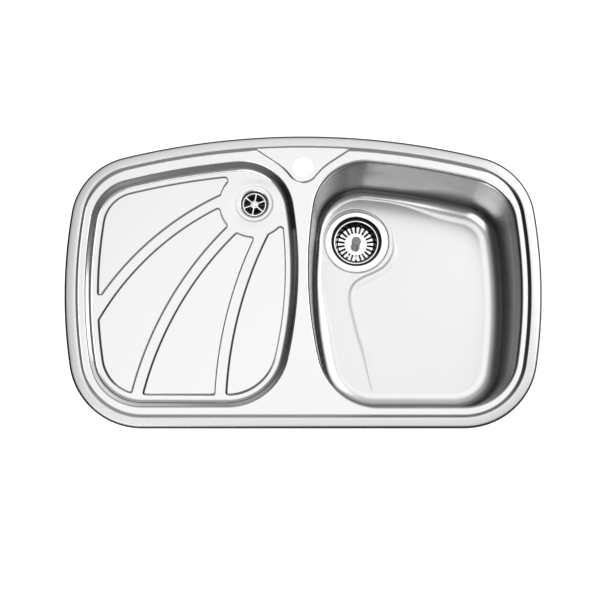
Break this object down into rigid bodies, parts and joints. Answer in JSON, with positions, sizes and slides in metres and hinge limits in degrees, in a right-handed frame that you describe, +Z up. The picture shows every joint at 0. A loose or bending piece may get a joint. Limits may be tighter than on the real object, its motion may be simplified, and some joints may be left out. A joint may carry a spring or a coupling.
{
  "type": "stainless steel kitchen sink",
  "caption": "Inset stainless steel kitchen sink with one deep bowl, a ribbed drainer, a tap ledge, a strainer waste, an overflow pipe and swinging rim clamps.",
  "frame": {"origin": "middle of the rim's outline, on the worktop's surface: the plane of the rim gasket's underside", "axes": "+X to the right along the sink's length, +Y to the back, where the tap ledge is, +Z up out of the worktop"},
  "size_m": [0.8, 0.5, 0.2543],
  "materials": {
    "sink_steel": "fine satin, brushed",
    "polished_steel": "bright polished",
    "chrome_grille": "polished",
    "zinc_steel": "zinc plated, dull",
    "rubber": "matt",
    "foam": "closed-cell foam, matt",
    "damping_pad": "embossed, matt",
    "black_plastic": "moulded, slightly satin",
    "white_plastic": "moulded, smooth",
    "knob_plastic": "moulded, satin"
  },
  "bodies": {
    "sink": {"sink_deck": "sink_steel", "sink_bowl": "sink_steel", "sink_drainer": "sink_steel", "rim_gasket": "foam", "sound_pad": "damping_pad", "clip_brackets": "zinc_steel", "waste_flange": "polished_steel", "flange_gasket": "rubber", "body_gasket": "rubber", "waste_body": "black_plastic", "waste_screw": "polished_steel", "drainer_grille": "chrome_grille", "grille_screw": "chrome_grille", "drainer_gasket": "rubber", "overflow_head": "black_plastic", "overflow_pipe": "white_plastic", "overflow_nut_top": "black_plastic", "overflow_nut_side": "black_plastic", "overflow_seal_top": "rubber", "overflow_seal_side": "rubber"},
    "basket": {"strainer_basket": "polished_steel", "basket_seal": "rubber", "basket_stem": "polished_steel", "basket_knob": "knob_plastic"},
    "clamp_screw_1": {"clamp_screw_1": "zinc_steel"},
    "clamp_arm_1": {"clamp_arm_1": "zinc_steel"},
    "clamp_screw_2": {"clamp_screw_2": "zinc_steel"},
    "clamp_arm_2": {"clamp_arm_2": "zinc_steel"},
    "clamp_screw_3": {"clamp_screw_3": "zinc_steel"},
    "clamp_arm_3": {"clamp_arm_3": "zinc_steel"},
    "clamp_screw_4": {"clamp_screw_4": "zinc_steel"},
    "clamp_arm_4": {"clamp_arm_4": "zinc_steel"},
    "clamp_screw_5": {"clamp_screw_5": "zinc_steel"},
    "clamp_arm_5": {"clamp_arm_5": "zinc_steel"},
    "clamp_screw_6": {"clamp_screw_6": "zinc_steel"},
    "clamp_arm_6": {"clamp_arm_6": "zinc_steel"},
    "clamp_screw_7": {"clamp_screw_7": "zinc_steel"},
    "clamp_arm_7": {"clamp_arm_7": "zinc_steel"},
    "clamp_screw_8": {"clamp_screw_8": "zinc_steel"},
    "clamp_arm_8": {"clamp_arm_8": "zinc_steel"}
  },
  "joints": [
    {"name": "basket_lift", "type": "slide", "parent": "sink", "child": "basket", "axis": [0, 0, 1], "range_m": [0, 0.2]},
    {"name": "clamp_1_travel", "type": "slide", "parent": "sink", "child": "clamp_screw_1", "axis": [0, 0, 1], "range_m": [0, 0.013]},
    {"name": "clamp_1_swing", "type": "hinge", "parent": "clamp_screw_1", "child": "clamp_arm_1", "pos_m": [0.2, -0.228, -0.0535], "axis": [0, 0, 1], "range_deg": [0, 90]},
    {"name": "clamp_2_travel", "type": "slide", "parent": "sink", "child": "clamp_screw_2", "axis": [0, 0, 1], "range_m": [0, 0.013]},
    {"name": "clamp_2_swing", "type": "hinge", "parent": "clamp_screw_2", "child": "clamp_arm_2", "pos_m": [-0.2, -0.228, -0.0535], "axis": [0, 0, 1], "range_deg": [0, 90]},
    {"name": "clamp_3_travel", "type": "slide", "parent": "sink", "child": "clamp_screw_3", "axis": [0, 0, 1], "range_m": [0, 0.013]},
    {"name": "clamp_3_swing", "type": "hinge", "parent": "clamp_screw_3", "child": "clamp_arm_3", "pos_m": [-0.2, 0.2116, -0.0535], "axis": [0, 0, 1], "range_deg": [0, 90]},
    {"name": "clamp_4_travel", "type": "slide", "parent": "sink", "child": "clamp_screw_4", "axis": [0, 0, 1], "range_m": [0, 0.013]},
    {"name": "clamp_4_swing", "type": "hinge", "parent": "clamp_screw_4", "child": "clamp_arm_4", "pos_m": [0.2, 0.2116, -0.0535], "axis": [0, 0, 1], "range_deg": [0, 90]},
    {"name": "clamp_5_travel", "type": "slide", "parent": "sink", "child": "clamp_screw_5", "axis": [0, 0, 1], "range_m": [0, 0.013]},
    {"name": "clamp_5_swing", "type": "hinge", "parent": "clamp_screw_5", "child": "clamp_arm_5", "pos_m": [0.37132, -0.105, -0.0535], "axis": [0, 0, 1], "range_deg": [0, 90]},
    {"name": "clamp_6_travel", "type": "slide", "parent": "sink", "child": "clamp_screw_6", "axis": [0, 0, 1], "range_m": [0, 0.013]},
    {"name": "clamp_6_swing", "type": "hinge", "parent": "clamp_screw_6", "child": "clamp_arm_6", "pos_m": [0.37132, 0.105, -0.0535], "axis": [0, 0, 1], "range_deg": [0, 90]},
    {"name": "clamp_7_travel", "type": "slide", "parent": "sink", "child": "clamp_screw_7", "axis": [0, 0, 1], "range_m": [0, 0.013]},
    {"name": "clamp_7_swing", "type": "hinge", "parent": "clamp_screw_7", "child": "clamp_arm_7", "pos_m": [-0.37132, -0.105, -0.0535], "axis": [0, 0, 1], "range_deg": [0, 90]},
    {"name": "clamp_8_travel", "type": "slide", "parent": "sink", "child": "clamp_screw_8", "axis": [0, 0, 1], "range_m": [0, 0.013]},
    {"name": "clamp_8_swing", "type": "hinge", "parent": "clamp_screw_8", "child": "clamp_arm_8", "pos_m": [-0.37132, 0.105, -0.0535], "axis": [0, 0, 1], "range_deg": [0, 90]}
  ]
}
